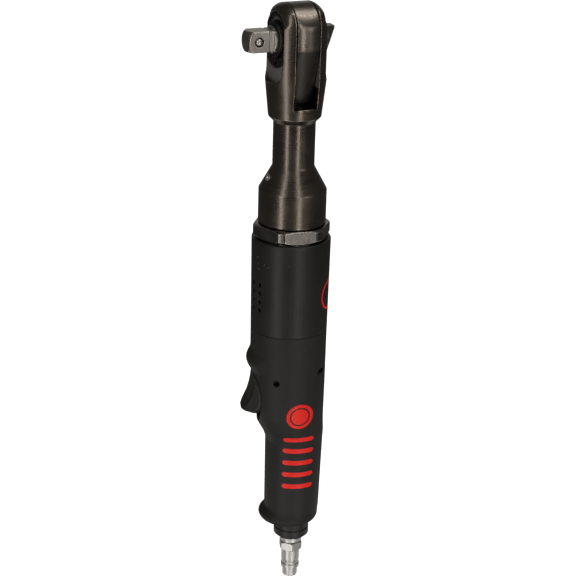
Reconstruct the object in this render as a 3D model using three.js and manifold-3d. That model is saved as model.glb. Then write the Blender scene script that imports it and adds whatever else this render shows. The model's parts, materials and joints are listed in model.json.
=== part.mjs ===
// Half-inch drive air ratchet: fork head with oscillating yoke, planetary gear, vane motor, throttle, inlet.
// Millimetres, +Z up along the tool from the air inlet to the head. The drive square points along -Y and
// the origin is the centre of its outer end face. Every z below is measured from the drive axis.
import * as THREE from "three";
import { mergeVertices } from "three/addons/utils/BufferGeometryUtils.js";
import Module from "manifold-3d";

const wasm = await Module();
wasm.setup();

const DEG = Math.PI / 180;
const GAP = 0.3; // running or seating gap between touching pieces
const FAR = 60; // reach of a cutter that runs past the part

// Driving dimensions
const TOOL_AXIS_Y = 33.5; // from the end of the drive square to the tool's long axis
const HANDLE_TURN = -19 * DEG; // the head is clamped this far round from the trigger

const SQUARE = 12.7; // half-inch drive
const SQUARE_START = 17.8;
const HEAD_RADIUS = 21.9; // round top of the fork about the drive axis
const HEAD_BELLY = 18.8;
const CHEEK_FACE = 14.3; // half the thickness of the fork
const SPOT_FACE_RADIUS = 26;
const HEAD_EDGE = 6.8;
const FORK_HALF_SLOT = 7.7;
const SLOT_FLOOR = -46;
const NECK_TOP = -50.6;
const NECK_BOTTOM = -79.2;
const NECK_RADIUS = 13.1;
const BARREL_TOP = -93.9;
const BARREL_BOTTOM = -115.5;
const BARREL_RADIUS = 21.3;
const SKIRT_RADIUS = 20.2;
const SKIRT_BOTTOM = -134;
const CRANK_BORE = 8.3;
const GEAR_CHAMBER = 17;
const GEAR_CHAMBER_TOP = -97;

const NUT_FLATS = 44.6;
const NUT_TURNED = 24.6;
const NUT_BOTTOM = -124.4;
const NUT_CORNER = 50.6 * DEG; // azimuth of one corner, measured from the drive direction
const GREASE_Z = -87;

const SLEEVE_TOP = -125;
const SLEEVE_BOTTOM = -186;
const SLEEVE_RADIUS_TOP = 25;
const SLEEVE_RADIUS_BOTTOM = 24.5;
const LINER_OUTER = 22.3;
const LINER_INNER = 20.5;
const LINER_BOTTOM = -196.5;
const VENT_ROWS = 4;
const VENT_COLUMNS = 5;
const VENT_PITCH = 5.6;
const VENT_STEP = 17 * DEG;
const VENT_TOP = -153.4;

const MODULE = 0.8;
const SUN_TEETH = 12;
const PLANET_TEETH = 12;
const RING_TEETH = 36;
const PLANETS = 3;
const GEAR_TOP = -104.5;
const GEAR_BOTTOM = -122;
const CARRIER_RADIUS = (MODULE * (SUN_TEETH + PLANET_TEETH)) / 2;

const CYLINDER_TOP = -142.4;
const CYLINDER_BOTTOM = -184;
const CYLINDER_BORE = 15;
const CYLINDER_OFFSET = 1.6; // eccentricity of the bore
const ROTOR_RADIUS = 12.8;
const VANES = 5;
const VANE_THICKNESS = 1.6;
const PLATE_THICKNESS = 7;

const CRANK_THROW = 1.8;
const CRANK_PIN = 2.2;
const BUSH_RADIUS = 3.5;
const BUSH_Z = -38;
const YOKE_RADIUS = 21.8; // its round top, about the drive axis
const YOKE_TURNED = 18.7; // its flanks, about the tool's long axis
const YOKE_HALF_THICKNESS = 7.2;
const YOKE_TAIL_BOTTOM = -41;
const YOKE_TAIL_HALF = 10.05;
const RATCHET_TEETH = 72;
const RATCHET_TIP = 12.4;
const DRUM_RADIUS = 11.8;

const GRIP_OFFSET = 5.4; // the lower grip and the air inlet stand this far back from the tool axis
const HANDLE_TOP = -186.5;
const HANDLE_BOTTOM = -323.7;
const PIVOT_Y = -9.1;
const PIVOT_Z = -217.5;
const PIN_RADIUS = 1.9;
const VALVE_Z = -236;
const COLUMN_RADIUS = 9.8;
const NIPPLE_BORE = 3.6;
const NIPPLE_END = -368.7;
const HEX_FLATS = 14; // across flats
const HEX_TOP = -342.4;
const HEX_BOTTOM = -348.2;
const HEX_TURN = 63 * DEG;

// Makes a closed three.js geometry into a solid whose faces point outwards.
function solid(geometry) {
  const bare = geometry.clone();
  bare.deleteAttribute("normal");
  bare.deleteAttribute("uv");
  const merged = mergeVertices(bare, 1e-4);
  const place = merged.getAttribute("position").array;
  const corners = merged.index.array;
  const kept = [];
  let volume = 0;
  const a = new THREE.Vector3();
  const b = new THREE.Vector3();
  const c = new THREE.Vector3();
  for (let i = 0; i < corners.length; i += 3) {
    const [p, q, r] = [corners[i], corners[i + 1], corners[i + 2]];
    if (p === q || q === r || r === p) continue;
    kept.push(p, q, r);
    a.fromArray(place, 3 * p);
    b.fromArray(place, 3 * q);
    c.fromArray(place, 3 * r);
    volume += a.dot(b.cross(c));
  }
  if (volume < 0) kept.reverse();
  const triVerts = new Uint32Array(kept);
  return new wasm.Manifold(new wasm.Mesh({ numProp: 3, vertProperties: new Float32Array(place), triVerts }));
}

const join = (first, ...rest) => rest.reduce((sum, part) => sum.add(part), first);
const cut = (first, ...rest) => rest.reduce((left, part) => left.subtract(part), first);

// Solid of revolution about Z from [radius, z] points; the profile closes on itself or on the axis.
function lathe(profile, segments = 32) {
  const points = profile.map(([r, z]) => new THREE.Vector2(r, z));
  return solid(new THREE.LatheGeometry(points, segments).rotateX(Math.PI / 2));
}

const rod = (radius, low, high, segments = 20) =>
  lathe([[0, low], [radius, low], [radius, high], [0, high]], segments);

const ring = (outer, inner, low, high, segments = 28) =>
  lathe([[inner, low], [outer, low], [outer, high], [inner, high], [inner, low]], segments);

const along = (part, axis) => (axis === "y" ? part.rotate([90, 0, 0]) : part.rotate([0, 90, 0]));

// Rod along Y between two distances measured in the drive direction (-Y).
const driveRod = (radius, near, far, segments = 20) => along(rod(radius, near, far, segments), "y");
const crossRod = (radius, half, segments = 12) => along(rod(radius, -half, half, segments), "x");

function box(low, high) {
  const size = high.map((value, i) => value - low[i]);
  const middle = high.map((value, i) => (value + low[i]) / 2);
  return solid(new THREE.BoxGeometry(...size).translate(...middle));
}

// Prism along Z from [x, y] outlines.
function prism(outline, low, high, hole) {
  const shape = new THREE.Shape(outline.map(([x, y]) => new THREE.Vector2(x, y)));
  if (hole) shape.holes.push(new THREE.Path(hole.map(([x, y]) => new THREE.Vector2(x, y))));
  const geometry = new THREE.ExtrudeGeometry(shape, { depth: high - low, bevelEnabled: false });
  return solid(geometry.translate(0, 0, low));
}

// Prism along Y from an [x, z] outline, centred on y = 0.
const slab = (outline, half, hole) =>
  prism(outline, -half, half, hole).rotate([90, 0, 0]);

// Prism along X from a [y, z] outline, centred on x = 0.
const sidePrism = (outline, half) =>
  prism(outline.map(([y, z]) => [-z, y]), -half, half).rotate([0, 90, 0]);

const arc = (radius, start, end, steps, x = 0, y = 0) =>
  Array.from({ length: steps + 1 }, (_, i) => {
    const angle = start + ((end - start) * i) / steps;
    return [x + radius * Math.cos(angle), y + radius * Math.sin(angle)];
  });

const polar = (radius, angle) => [radius * Math.cos(angle), radius * Math.sin(angle)];

// Body through round sections [z, radius, y of the centre].
function loft(sections, segments = 36) {
  const vertices = [];
  const index = [];
  for (const [z, radius, centre] of sections)
    for (let i = 0; i < segments; i++) {
      const [x, y] = polar(radius, (2 * Math.PI * i) / segments);
      vertices.push(x, y + centre, z);
    }
  for (let s = 0; s < sections.length - 1; s++)
    for (let i = 0; i < segments; i++) {
      const next = (i + 1) % segments;
      const [a, b] = [s * segments + i, s * segments + next];
      index.push(a, b, b + segments, a, b + segments, a + segments);
    }
  const top = (sections.length - 1) * segments;
  for (let i = 1; i < segments - 1; i++) {
    index.push(0, i + 1, i);
    index.push(top, top + i, top + i + 1);
  }
  const geometry = new THREE.BufferGeometry();
  geometry.setAttribute("position", new THREE.Float32BufferAttribute(vertices, 3));
  geometry.setIndex(index);
  return solid(geometry);
}

// Coil spring along Z, its wire swept along a helix.
function coil(radius, wire, low, high, turns, stepsPerTurn = 9, sides = 5) {
  const steps = turns * stepsPerTurn;
  const points = Array.from({ length: steps + 1 }, (_, i) => {
    const [x, y] = polar(radius, (2 * Math.PI * i) / stepsPerTurn);
    return new THREE.Vector3(x, y, low + wire + ((high - low - 2 * wire) * i) / steps);
  });
  const path = new THREE.CatmullRomCurve3(points);
  const section = new THREE.Shape(
    Array.from({ length: sides }, (_, i) => new THREE.Vector2(...polar(wire, (2 * Math.PI * i) / sides))),
  );
  const geometry = new THREE.ExtrudeGeometry(section, { steps, extrudePath: path, bevelEnabled: false });
  return solid(geometry);
}

// Outline of gear teeth: each tooth's four corners at its root and tip.
function toothOutline(teeth, root, tip, rootHalf, tipHalf, firstTooth = 0) {
  return Array.from({ length: teeth }, (_, i) => {
    const middle = firstTooth + (2 * Math.PI * i) / teeth;
    return [
      polar(root, middle - rootHalf),
      polar(tip, middle - tipHalf),
      polar(tip, middle + tipHalf),
      polar(root, middle + rootHalf),
    ];
  }).flat();
}

const group = new THREE.Group();
const tool = new THREE.Group();
tool.position.y = TOOL_AXIS_Y;
group.add(tool);
const handle = new THREE.Group();
handle.rotation.z = HANDLE_TURN;
tool.add(handle);

const FINISHES = {
  bronzeSteel: [0x3a332c, 0.35, 0.9],
  driveSteel: [0x77746f, 0.35, 0.95],
  wornSteel: [0x5a5753, 0.35, 0.9],
  brightSteel: [0xb8b6b2, 0.25, 1],
  gearSteel: [0x8a8885, 0.4, 0.9],
  springSteel: [0x9a9894, 0.35, 0.95],
  aluminium: [0xa9aaab, 0.5, 0.9],
  brass: [0xb08d4a, 0.4, 0.9],
  zinc: [0xbdbdbb, 0.35, 0.85],
  grip: [0x2d2e30, 0.75, 0],
  vaneFibre: [0x6b4a2c, 0.8, 0],
  seal: [0x161616, 0.85, 0],
};

function add(parent, name, finish, part) {
  const { numProp, vertProperties, triVerts } = part.getMesh();
  const geometry = new THREE.BufferGeometry();
  const place = new THREE.BufferAttribute(vertProperties.slice(), numProp);
  geometry.setAttribute("position", place);
  geometry.setIndex(new THREE.BufferAttribute(triVerts.slice(), 1));
  geometry.computeVertexNormals();
  const [color, roughness, metalness] = FINISHES[finish];
  const mesh = new THREE.Mesh(geometry, new THREE.MeshStandardMaterial({ color, roughness, metalness }));
  mesh.name = name;
  parent.add(mesh);
}

// ---------------------------------------------------------------- head

const RECESS_RADIUS = 15.5;
const RECESS_FLOOR = 12;
const FRONT_JOURNAL = 10.5;
const BACK_JOURNAL = 9;
const JOURNAL_GAP = 0.3;

function headHousing() {
  const turned = lathe([
    [0, SKIRT_BOTTOM],
    [SKIRT_RADIUS, SKIRT_BOTTOM],
    [SKIRT_RADIUS, BARREL_BOTTOM],
    [BARREL_RADIUS - 0.6, BARREL_BOTTOM],
    [BARREL_RADIUS, BARREL_BOTTOM + 0.6],
    [BARREL_RADIUS, BARREL_TOP],
    [NECK_RADIUS, NECK_BOTTOM],
    [NECK_RADIUS, NECK_TOP],
    [16.2, -47.4],
    [HEAD_BELLY, -24.7],
    [HEAD_BELLY, FAR],
    [0, FAR],
  ], 40);
  const inner = HEAD_RADIUS - HEAD_EDGE;
  const outline = new THREE.Shape([
    ...arc(inner, 0, Math.PI, 14).map(([x, z]) => new THREE.Vector2(x, z)),
    new THREE.Vector2(-inner, -FAR),
    new THREE.Vector2(inner, -FAR),
  ]);
  const block = solid(
    new THREE.ExtrudeGeometry(outline, {
      depth: 2 * (CHEEK_FACE - HEAD_EDGE),
      bevelThickness: HEAD_EDGE,
      bevelSize: HEAD_EDGE,
      bevelSegments: 4,
    }).translate(0, 0, HEAD_EDGE - CHEEK_FACE),
  ).rotate([90, 0, 0]);
  const below = cut(box([-FAR, -FAR, -3 * FAR], [FAR, FAR, 0]), driveRod(SPOT_FACE_RADIUS, -FAR, FAR, 40));
  const body = turned.intersect(join(block, below));
  return cut(
    body,
    box([-FAR, -FORK_HALF_SLOT, SLOT_FLOOR], [FAR, FORK_HALF_SLOT, FAR]),
    driveRod(FRONT_JOURNAL + JOURNAL_GAP, 0, FAR, 28),
    driveRod(BACK_JOURNAL + JOURNAL_GAP, -FAR, 0, 28),
    driveRod(RECESS_RADIUS, RECESS_FLOOR, FAR, 32),
    driveRod(RECESS_RADIUS + 0.7, 13.2, 14, 32),
    rod(CRANK_BORE, GEAR_CHAMBER_TOP - 1, SLOT_FLOOR + 1, 24),
    rod(GEAR_CHAMBER, SKIRT_BOTTOM - 1, GEAR_CHAMBER_TOP, 32),
    greaseHole(),
  );
}

// The grease fitting stands square on the cone, towards the drive side.
const CONE_LEAN = Math.atan2(BARREL_RADIUS - NECK_RADIUS, NECK_BOTTOM - BARREL_TOP);
const CONE_AT_GREASE =
  NECK_RADIUS + ((BARREL_RADIUS - NECK_RADIUS) * (NECK_BOTTOM - GREASE_Z)) / (NECK_BOTTOM - BARREL_TOP);
const onCone = (part) =>
  part.rotate([90 - CONE_LEAN / DEG, 0, 0]).translate([0, -CONE_AT_GREASE, GREASE_Z]);
const greaseHole = () => onCone(rod(1.9, -12, 3, 12));

function greaseFitting() {
  return onCone(lathe([
    [0, -5], [1.6, -5], [1.6, 0.2], [2.3, 0.3], [2.3, 0.6], [1.4, 0.9], [1.4, 1.2], [0.8, 1.6],
    [0, 1.6],
  ], 12));
}

function clampNut() {
  const top = BARREL_BOTTOM - GAP;
  const corners = Array.from({ length: 6 }, (_, i) =>
    polar(NUT_FLATS / 2 / Math.cos(Math.PI / 6), NUT_CORNER - Math.PI / 2 + (i * Math.PI) / 3));
  const hexagon = prism(corners, NUT_BOTTOM, top);
  const chamfer = NUT_FLATS / 2;
  const turned = lathe([
    [0, NUT_BOTTOM], [chamfer, NUT_BOTTOM], [NUT_TURNED, NUT_BOTTOM + 1.8], [NUT_TURNED, top - 1.2],
    [chamfer, top], [0, top],
  ], 36);
  return cut(hexagon.intersect(turned), rod(SKIRT_RADIUS + GAP, NUT_BOTTOM - 1, top + 1, 40));
}

// ---------------------------------------------------------------- drive anvil and ratchet

const DRUM_HALF = 7;
const POCKET_HALF_WIDTH = 6.2;
const POCKET_FLOOR = 5.6;
const PAWL_HALF_THICKNESS = 3.8;
const LEVER_SHAFT = 3;
const BALL_AT = 27;
const BALL_RADIUS = 2.4;
const BALL_HOLE = 2.8;
const BALL_PROUD = 0.8;

function driveAnvil() {
  const half = SQUARE / 2;
  const square = box([-half, -TOOL_AXIS_Y, -half], [half, -SQUARE_START, half]);
  // the square's corners are turned down at its end
  const turnedEnd = along(lathe([
    [0, 0], [FAR, 0], [FAR, TOOL_AXIS_Y - 6.5], [8.4, TOOL_AXIS_Y - 2.2], [7.4, TOOL_AXIS_Y - 0.8],
    [6.6, TOOL_AXIS_Y], [0, TOOL_AXIS_Y],
  ], 24), "y");
  const shaft = along(lathe([
    [0, -13.4],
    [BACK_JOURNAL, -13.4],
    [BACK_JOURNAL, -DRUM_HALF],
    [DRUM_RADIUS, -DRUM_HALF],
    [DRUM_RADIUS, DRUM_HALF],
    [FRONT_JOURNAL, DRUM_HALF],
    [FRONT_JOURNAL, 15.2],
    [FRONT_JOURNAL - 0.5, 15.7],
    [8.6, 15.7],
    [8, SQUARE_START + 0.1],
    [0, SQUARE_START + 0.1],
  ], 28), "y");
  const pocket = (side) =>
    box(
      [-POCKET_HALF_WIDTH, -4.4, side > 0 ? POCKET_FLOOR : -DRUM_RADIUS - 2],
      [POCKET_HALF_WIDTH, 4.4, side > 0 ? DRUM_RADIUS + 2 : -POCKET_FLOOR],
    );
  const springHole = (side) =>
    rod(1.5, 3.9, 6, 12).rotate([side > 0 ? 0 : 180, 0, 0]).translate([3.4 * side, 0, 0]);
  return cut(
    join(square.intersect(turnedEnd), shaft),
    driveRod(LEVER_SHAFT + GAP, -20, -3, 20),
    pocket(1),
    pocket(-1),
    springHole(1),
    springHole(-1),
    along(rod(BALL_HOLE, -3, half + 1, 16), "x").translate([0, -BALL_AT, 0]),
  );
}

function ratchetYoke() {
  const side = YOKE_TURNED - 0.1;
  const shoulder = Math.acos(side / YOKE_RADIUS);
  const slotHalf = BUSH_RADIUS + 2 * CRANK_THROW + 0.25;
  const slotTop = BUSH_Z + 5.2;
  const outline = [
    ...arc(YOKE_RADIUS, shoulder, Math.PI - shoulder, 20),
    [-side, -13],
    [-YOKE_TAIL_HALF, YOKE_TAIL_BOTTOM],
    [-slotHalf, YOKE_TAIL_BOTTOM],
    [-slotHalf, slotTop],
    [slotHalf, slotTop],
    [slotHalf, YOKE_TAIL_BOTTOM],
    [YOKE_TAIL_HALF, YOKE_TAIL_BOTTOM],
    [side, -13],
  ];
  const pitch = (2 * Math.PI) / RATCHET_TEETH;
  const bore = Array.from({ length: RATCHET_TEETH }, (_, i) => [
    polar(RATCHET_TIP, i * pitch),
    polar(RATCHET_TIP + 0.6, (i + 0.5) * pitch),
  ]).flat();
  return slab(outline, YOKE_HALF_THICKNESS, bore).intersect(rod(YOKE_TURNED, -FAR, FAR, 40));
}

// Rocking pawl with a toothed pad, here lifted clear of the yoke's teeth.
const PAWL_PIVOT_Z = 8;
function pawl() {
  const pad = 11.45;
  const pitch = (2 * Math.PI) / RATCHET_TEETH;
  const teeth = Array.from({ length: 9 }, (_, i) => {
    const angle = Math.PI / 2 + (i - 4) * pitch;
    return i % 2 ? polar(pad - 0.45, angle) : polar(pad, angle);
  });
  const outline = [
    [-4.9, 9.4],
    [-2, 6.9],
    ...arc(1.9, Math.PI * 1.2, Math.PI * 1.8, 5, 0, PAWL_PIVOT_Z),
    [2, 6.9],
    [4.9, 9.4],
    ...teeth,
  ];
  return slab(outline, PAWL_HALF_THICKNESS);
}

const FIN_HALF = 3;
function reversingLever() {
  const disc = along(lathe([
    [0, -17.4], [7.6, -17.4], [8.6, -16.6], [8.6, -14.7], [0, -14.7],
  ], 28), "y");
  const shaft = driveRod(LEVER_SHAFT, -15, -3.6, 20);
  const fin = sidePrism([
    [15, 7.4], [22.9, 7.2], [24.1, 6], [23.9, 4.8], [18.2, -11.4], [16.8, -12], [15, -12],
  ], FIN_HALF);
  const round = driveRod(12.4, -30, -10, 32);
  return join(disc, shaft, fin.intersect(round));
}

function detentBall() {
  const ball = new THREE.SphereGeometry(BALL_RADIUS, 14, 8);
  return solid(ball.translate(SQUARE / 2 + BALL_PROUD - BALL_RADIUS, -BALL_AT, 0));
}

function retainingRing() {
  const full = along(ring(RECESS_RADIUS + 0.4, 13.4, 13.4, 13.85, 28), "y");
  const lug = (x) => along(rod(1.5, 13.4, 13.85, 10), "y").translate([x, 0, -13.2]);
  const body = join(cut(full, box([-1.6, -20, -20], [1.6, 0, -8])), lug(-2.6), lug(2.6));
  return body.intersect(driveRod(RECESS_RADIUS + 0.4, 10, 20, 28));
}

const thrustWasher = () => along(ring(RECESS_RADIUS - GAP, FRONT_JOURNAL + GAP, 12.3, 13.1, 28), "y");

// ---------------------------------------------------------------- crank and planetary gear

const BEARING_OUTER = CRANK_BORE - GAP;
const CRANK_SHAFT = 5;

function crankshaft() {
  const turned = lathe([
    [0, -102.6], [13.4, -102.6], [13.4, -98.2], [6.4, -98.2], [CRANK_SHAFT, -96.4],
    [CRANK_SHAFT, -47.4], [0, -47.4],
  ], 24);
  const pin = rod(CRANK_PIN, -48, BUSH_Z + 4, 16).translate([0, -CRANK_THROW, 0]);
  const holes = planetPlaces().map(([x, y]) => rod(PIN_RADIUS + GAP, -103, -99.2, 12).translate([x, y, 0]));
  return cut(join(turned, pin), ...holes);
}

const planetPlaces = () =>
  Array.from({ length: PLANETS }, (_, i) => polar(CARRIER_RADIUS, (2 * Math.PI * i) / PLANETS));

const planetPin = ([x, y]) => rod(PIN_RADIUS, -123.4, -99.5, 12).translate([x, y, 0]);

// External gear with thinned, straight-sided teeth.
function gearBlank(teeth, low, high, firstTooth, hole) {
  const pitch = (MODULE * teeth) / 2;
  const [root, tip] = [pitch - 1.2 * MODULE, pitch + 0.8 * MODULE];
  const outline = toothOutline(teeth, root, tip, 6.6 * DEG, 2.6 * DEG, firstTooth);
  return prism(outline, low, high, hole);
}

const planetGear = ([x, y]) => {
  const bore = arc(PIN_RADIUS + GAP, 0, 2 * Math.PI * (15 / 16), 15);
  return gearBlank(PLANET_TEETH, GEAR_BOTTOM, GEAR_TOP, 15 * DEG, bore).translate([x, y, 0]);
};

function ringGear() {
  const pitch = (MODULE * RING_TEETH) / 2;
  const inside = toothOutline(RING_TEETH, pitch + 1.2 * MODULE, pitch - 0.8 * MODULE, 3.4 * DEG, 1.3 * DEG);
  const rim = arc(GEAR_CHAMBER - GAP, 0, 2 * Math.PI * (39 / 40), 39);
  return prism(rim, GEAR_BOTTOM - 1, GEAR_TOP + 1, inside);
}

// Barrel-shaped bush on the crank's eccentric pin.
const driveBushing = () =>
  lathe([
    [CRANK_PIN + 0.2, BUSH_Z - 3.4], [2.9, BUSH_Z - 3.4], [BUSH_RADIUS, BUSH_Z - 1.2],
    [BUSH_RADIUS, BUSH_Z + 1.2], [2.9, BUSH_Z + 3.4], [CRANK_PIN + 0.2, BUSH_Z + 3.4],
    [CRANK_PIN + 0.2, BUSH_Z - 3.4],
  ], 20).translate([0, -CRANK_THROW, 0]);

// Ball bearing as one ring, with its seal groove on the upper face.
function bearing(outer, inner, low, high) {
  const middle = (outer + inner) / 2;
  return lathe([
    [inner, low], [outer, low], [outer, high], [middle + 0.5, high], [middle + 0.5, high - 0.6],
    [middle - 0.5, high - 0.6], [middle - 0.5, high], [inner, high], [inner, low],
  ], 20);
}

// ---------------------------------------------------------------- vane motor

const LINER_FIT = LINER_INNER - GAP;
const SHAFT_RADIUS = 4;
const ROTOR_BEARING = 7.6;

function motorRotor() {
  const low = CYLINDER_BOTTOM + 0.4;
  const high = CYLINDER_TOP - 0.4;
  const turned = lathe([
    [0, -190.6], [SHAFT_RADIUS, -190.6], [SHAFT_RADIUS, low], [ROTOR_RADIUS, low], [ROTOR_RADIUS, high],
    [SHAFT_RADIUS, high], [SHAFT_RADIUS, -133], [3.6, -132], [3.6, -121], [0, -121],
  ], 30);
  const sun = gearBlank(SUN_TEETH, GEAR_BOTTOM, GEAR_TOP, 0);
  const slots = vaneAngles().map((angle) => vaneBlade(angle, VANE_THICKNESS + 0.5, 6.4, 15, 1));
  return cut(join(turned, sun), ...slots);
}

const vaneAngles = () => Array.from({ length: VANES }, (_, i) => (360 * i) / VANES + 36);

function vaneBlade(angle, thickness, inner, outer, extra) {
  const low = CYLINDER_BOTTOM + 0.5 - extra;
  const high = CYLINDER_TOP - 0.5 + extra;
  return box([inner, -thickness / 2, low], [outer, thickness / 2, high]).rotate([0, 0, angle]);
}

function motorCylinder() {
  const body = rod(LINER_FIT, CYLINDER_BOTTOM, CYLINDER_TOP, 36);
  const straight = rod(CYLINDER_BORE, CYLINDER_BOTTOM - 1, CYLINDER_TOP + 1, 36);
  const bore = straight.translate([0, CYLINDER_OFFSET, 0]);
  const ports = [-1, 0, 1].map((i) => box([-1.2 + 6 * i, -FAR, -176], [1.2 + 6 * i, 0, -154]));
  return cut(body, bore, ...ports);
}

function endPlate(low, high, seatLow, seatHigh, ported) {
  const ports = [-1, 1].map((side) => rod(2, low - 1, high + 1, 12).translate([11 * side, 5, 0]));
  const plate = cut(
    rod(LINER_FIT, low, high, 36),
    rod(SHAFT_RADIUS + 0.5, low - 1, high + 1, 16),
    rod(ROTOR_BEARING + GAP, seatLow, seatHigh, 20),
  );
  return ported ? cut(plate, ...ports) : plate;
}

function motorHousing() {
  const slots = ventAngles().map((angle) =>
    box([-1.6, -FAR, VENT_TOP - 3 * VENT_PITCH - 2], [1.6, 0, VENT_TOP + 2]).rotate([0, 0, angle]));
  return cut(ring(LINER_OUTER, LINER_INNER, LINER_BOTTOM, SLEEVE_TOP - 0.4, 40), ...slots);
}

const ventAngles = () =>
  Array.from({ length: VENT_COLUMNS }, (_, i) => ((i - (VENT_COLUMNS - 1) / 2) * VENT_STEP) / DEG);

function motorSleeve() {
  const body = lathe([
    [LINER_OUTER + GAP, SLEEVE_BOTTOM], [SLEEVE_RADIUS_BOTTOM, SLEEVE_BOTTOM],
    [SLEEVE_RADIUS_TOP, SLEEVE_TOP - 1], [SLEEVE_RADIUS_TOP - 0.8, SLEEVE_TOP],
    [LINER_OUTER + GAP, SLEEVE_TOP], [LINER_OUTER + GAP, SLEEVE_BOTTOM],
  ], 40);
  const vents = ventAngles().flatMap((angle) =>
    Array.from({ length: VENT_ROWS }, (_, row) =>
      driveRod(1.1, 18, 30, 6).translate([0, 0, VENT_TOP - row * VENT_PITCH]).rotate([0, 0, angle])));
  return cut(body, ...vents);
}

// ---------------------------------------------------------------- handle, throttle and inlet

const TRIGGER_OVAL_X = 16; // half width and half height of the opening for the trigger
const TRIGGER_OVAL_Z = 20;
const TRIGGER_OVAL_MIDDLE = -232;
const POCKET_LOWER = 19; // half height of the opening below its middle
const TRIGGER_SIDE_GAP = 0.7;
const TRIGGER_LOWER = 17; // the paddle is shorter below, so it can swing down and in
const POCKET_Y = -12.4; // floor of the trigger opening
const PIN_2_Y = 19.7;
const PIN_2_Z = -212.6;
const WEB_HALF = 5;
const PASSAGE_Y = 0.9;
const FEED_Y = 9.2;
const BUSHING_BORE = 7.9;

// Oval prism along Y between two depths, about the middle of the trigger opening; its upper and lower
// halves may differ in height.
function ovalPrism(halfWidth, upper, lower, from, to) {
  const outline = arc(1, 0, 2 * Math.PI * (31 / 32), 31).map(([x, z]) =>
    [x * halfWidth, TRIGGER_OVAL_MIDDLE + z * (z > 0 ? upper : lower)]);
  return prism(outline, -to, -from).rotate([90, 0, 0]);
}

function handleGrip() {
  const outside = loft([
    [HANDLE_BOTTOM, 14.5, 2.8],
    [HANDLE_BOTTOM + 0.7, 17, 2.8],
    [-321.8, 18.9, 2.8],
    [-319.6, 19.6, 2.8],
    [-317.8, 19.4, 3.15],
    [-316.4, 18.6, 4],
    [-315, 18.05, 4.9],
    [-264, 18.9, 5.4],
    [-259, 19.85, 4.7],
    [-252, 21.6, 2.5],
    [-245, 23.2, 0.9],
    [-238, 24.1, 0.1],
    [-230, 24.3, 0],
    [HANDLE_TOP - 0.8, 24.45, 0],
    [HANDLE_TOP, 24, 0],
  ], 40);
  const fingerStop = solid(new THREE.SphereGeometry(1, 14, 8).scale(13, 7.9, 8.5).translate(0, -18.6, -208));
  const inlet = (radius, low, high, segments = 24) =>
    rod(radius, low, high, segments).translate([0, GRIP_OFFSET, 0]);
  return cut(
    join(outside, fingerStop),
    ovalPrism(TRIGGER_OVAL_X, TRIGGER_OVAL_Z, POCKET_LOWER, -FAR, POCKET_Y),
    rod(LINER_OUTER + GAP, LINER_BOTTOM - 0.4, HANDLE_TOP + 1, 40),
    rod(21, -206.6, LINER_BOTTOM, 32),
    inlet(COLUMN_RADIUS + GAP, HANDLE_BOTTOM - 1, -200),
    box([-WEB_HALF - 0.6, POCKET_Y - 1, -249], [WEB_HALF + 0.6, -2, -210.5]),
    crossRod(PIN_RADIUS + GAP, FAR).translate([0, PIVOT_Y, PIVOT_Z]),
    crossRod(PIN_RADIUS + GAP, FAR).translate([0, PIN_2_Y, PIN_2_Z]),
  );
}

// Aluminium column inside the grip: air comes up its rear half, past the valve, and on up its front half.
function valveBody() {
  const flange = rod(20.6, -206.2, LINER_BOTTOM - 0.5, 32);
  const column = rod(COLUMN_RADIUS, HANDLE_BOTTOM, -206, 24).translate([0, GRIP_OFFSET, 0]);
  const crossHole = (radius, from, to) => driveRod(radius, -to, -from).translate([0, 0, VALVE_Z]);
  const bore = (radius, low, high, y) => rod(radius, low, high).translate([0, y, 0]);
  return cut(
    join(flange, column),
    crossHole(1.9, -8, 2),
    crossHole(4.5, -0.6, 17),
    bore(2.6, VALVE_Z, -190, PASSAGE_Y),
    bore(3, -264, VALVE_Z, FEED_Y),
    bore(4.6, -311, -262, GRIP_OFFSET + 0.6),
    bore(BUSHING_BORE, HANDLE_BOTTOM - 1, -307.9, GRIP_OFFSET),
    box([-FAR, -FAR, -223], [FAR, -4.6, -211.5]),
  );
}

const valveSeat = () =>
  along(ring(4.2, 2.6, -4.4, -2.8, 20), "y").translate([0, 0, VALVE_Z]);
const valvePlug = () => along(rod(4.2, -13.9, -12.7, 20), "y").translate([0, 0, VALVE_Z]);
const throttleSpring = () => along(coil(2.6, 0.4, -12.5, -7.1, 4), "y").translate([0, 0, VALVE_Z]);

const throttlePlunger = () =>
  along(lathe([
    [0, -6.8], [3.4, -6.8], [3.4, -4.8], [1.5, -4.8], [1.5, 9.6], [2.4, 10], [2.4, 12], [0, 12.4],
  ], 16), "y").translate([0, 0, VALVE_Z]);

function trigger() {
  const side = sidePrism([
    [-17.2, -242.9], [-17.2, -214], [-21.9, -214.2], [-22.7, -216.6], [-23.7, -225.9], [-25.8, -233.7],
    [-29.4, -240], [-29.9, -241.3], [-29.3, -242.3], [-27, -242.7],
  ], FAR / 2);
  const plan = prism([
    [-15.6, -17], [-15, -19], [-8.4, -28], [-5.6, -29.6], [0, -30.2], [5.6, -29.6], [8.4, -28],
    [15, -19], [15.6, -17],
  ], -260, -205);
  const oval = ovalPrism(
    TRIGGER_OVAL_X - TRIGGER_SIDE_GAP, TRIGGER_OVAL_Z - TRIGGER_SIDE_GAP, TRIGGER_LOWER, -FAR, 0);
  const web = sidePrism([
    [-19, -226], [-12.7, -217], [-12.1, -214.8], [-9.1, -213.9], [-6, -215.8],
    [-5.5, -218.6], [-7.6, -221.2], [-11, -222.8], [-13, -228], [-13, -240.6], [-18, -242.6],
  ], WEB_HALF);
  return cut(
    join(side.intersect(plan).intersect(oval), web),
    crossRod(PIN_RADIUS + GAP, FAR).translate([0, PIVOT_Y, PIVOT_Z]),
  );
}

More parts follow.
